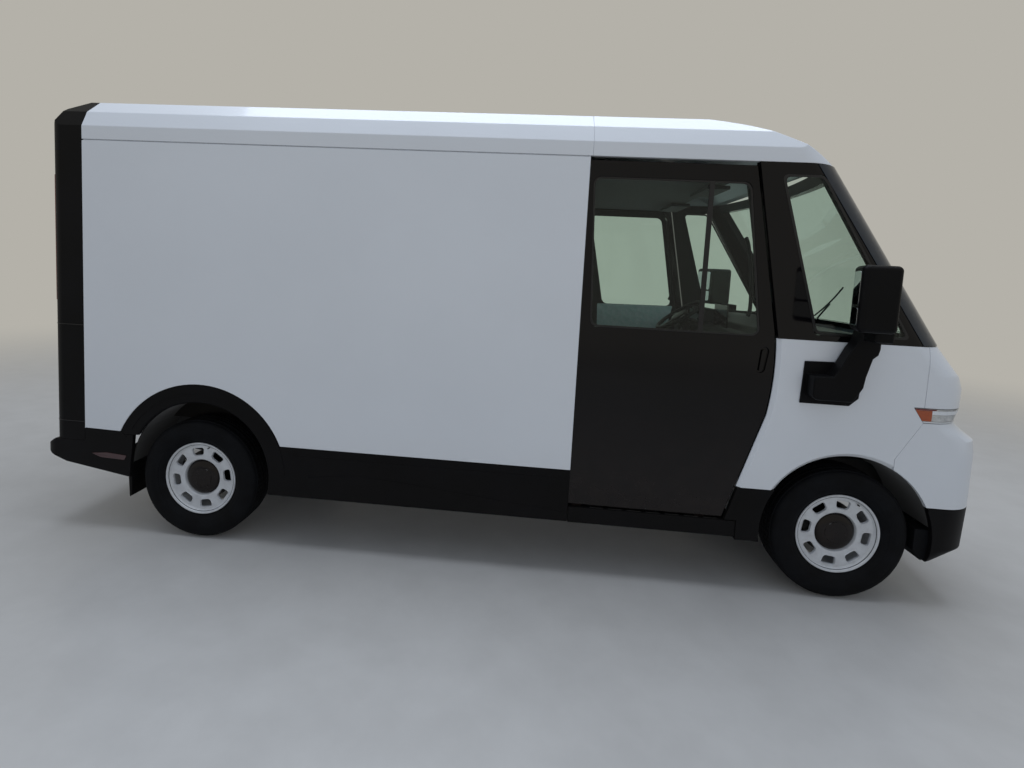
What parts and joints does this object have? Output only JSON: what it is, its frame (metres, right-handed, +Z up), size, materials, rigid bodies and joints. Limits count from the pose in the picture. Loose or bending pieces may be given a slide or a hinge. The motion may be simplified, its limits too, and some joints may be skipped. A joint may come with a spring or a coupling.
{
  "type": "electric step-in delivery van",
  "caption": "Electric step-in delivery van: box body, pocket sliding cab doors, bulkhead door, steered front wheels, blank panels, stepped rear bumper.",
  "frame": {"origin": "on the ground under the middle of the overall length and width", "axes": "+X forward, +Y to the van's left, +Z up"},
  "size_m": [5.756, 2.78, 2.7779],
  "materials": {
    "white_paint": "gloss",
    "black_gloss": "gloss",
    "black_moulded": "matte",
    "glass_tinted": "gloss",
    "lamp_clear": "gloss",
    "lamp_red": "gloss",
    "frame_steel": "matte",
    "pack_aluminium": "matte",
    "liner_plastic": "matte",
    "floor_plastic": "matte",
    "cast_steel": "matte",
    "dash_plastic": "matte",
    "seat_fabric": "matte",
    "wheel_paint": "satin",
    "tyre_rubber": "matte"
  },
  "bodies": {
    "van_body": {"body_side_right": "white_paint", "body_side_left": "white_paint", "sill_cladding": "black_moulded", "side_steps": "black_moulded", "cargo_roof": "white_paint", "cab_roof": "white_paint", "cab_frame": "black_gloss", "fixed_glass": "glass_tinted", "fenders": "white_paint", "nose_panel": "white_paint", "headlamps": "lamp_clear", "nose_band": "black_gloss", "front_bumper": "white_paint", "front_skirt": "black_moulded", "rear_surround": "black_moulded", "roll_up_door": "white_paint", "tail_lamps": "lamp_red", "rear_bumper": "black_moulded", "mudflaps": "black_moulded", "chassis_frame": "frame_steel", "battery_pack": "pack_aluminium", "wheel_liners": "liner_plastic", "floor": "floor_plastic", "rear_axle": "cast_steel", "front_suspension": "cast_steel", "bulkhead": "white_paint", "dashboard": "dash_plastic", "driver_seat": "seat_fabric", "mirrors": "black_moulded"},
    "side_door_left": {"side_door_left": "black_gloss", "side_glass_left": "glass_tinted"},
    "side_door_right": {"side_door_right": "black_gloss", "side_glass_right": "glass_tinted"},
    "bulkhead_door": {"bulkhead_door": "white_paint"},
    "knuckle_left": {"knuckle_left": "cast_steel"},
    "knuckle_right": {"knuckle_right": "cast_steel"},
    "wheel_front_left": {"tyre_front_left": "tyre_rubber", "rim_front_left": "wheel_paint"},
    "wheel_front_right": {"tyre_front_right": "tyre_rubber", "rim_front_right": "wheel_paint"},
    "wheel_rear_left": {"tyre_rear_left": "tyre_rubber", "rim_rear_left": "wheel_paint"},
    "wheel_rear_right": {"tyre_rear_right": "tyre_rubber", "rim_rear_right": "wheel_paint"},
    "steering_wheel": {"steering_wheel": "dash_plastic"}
  },
  "joints": [
    {"name": "side_door_left_slide", "type": "slide", "parent": "van_body", "child": "side_door_left", "axis": [-1, 0, 0], "range_m": [0, 1]},
    {"name": "side_door_right_slide", "type": "slide", "parent": "van_body", "child": "side_door_right", "axis": [-1, 0, 0], "range_m": [0, 1]},
    {"name": "bulkhead_door_slide", "type": "slide", "parent": "van_body", "child": "bulkhead_door", "axis": [0, 1, 0], "range_m": [0, 0.64]},
    {"name": "knuckle_left_steer", "type": "hinge", "parent": "van_body", "child": "knuckle_left", "pos_m": [2.048, 0.8155, 0.384], "axis": [0, 0, 1], "range_deg": [-35, 35]},
    {"name": "knuckle_right_steer", "type": "hinge", "parent": "van_body", "child": "knuckle_right", "pos_m": [2.048, -0.8155, 0.384], "axis": [0, 0, 1], "range_deg": [-35, 35]},
    {"name": "wheel_front_left_spin", "type": "hinge", "parent": "knuckle_left", "child": "wheel_front_left", "pos_m": [2.048, 0.8875, 0.384], "axis": [0, 1, 0], "continuous": true},
    {"name": "wheel_front_right_spin", "type": "hinge", "parent": "knuckle_right", "child": "wheel_front_right", "pos_m": [2.048, -0.8875, 0.384], "axis": [0, 1, 0], "continuous": true},
    {"name": "wheel_rear_left_spin", "type": "hinge", "parent": "van_body", "child": "wheel_rear_left", "pos_m": [-1.838, 0.8875, 0.384], "axis": [0, 1, 0], "continuous": true},
    {"name": "wheel_rear_right_spin", "type": "hinge", "parent": "van_body", "child": "wheel_rear_right", "pos_m": [-1.838, -0.8875, 0.384], "axis": [0, 1, 0], "continuous": true},
    {"name": "steering_wheel_turn", "type": "hinge", "parent": "van_body", "child": "steering_wheel", "pos_m": [1.428, 0.45, 1.515], "axis": [-0.5736, 0, 0.8192], "range_deg": [-525, 525]}
  ],
  "couplings": [
    {"joint": "knuckle_right_steer", "follows": "knuckle_left_steer", "ratio": 1},
    {"joint": "steering_wheel_turn", "follows": "knuckle_left_steer", "ratio": 15}
  ]
}
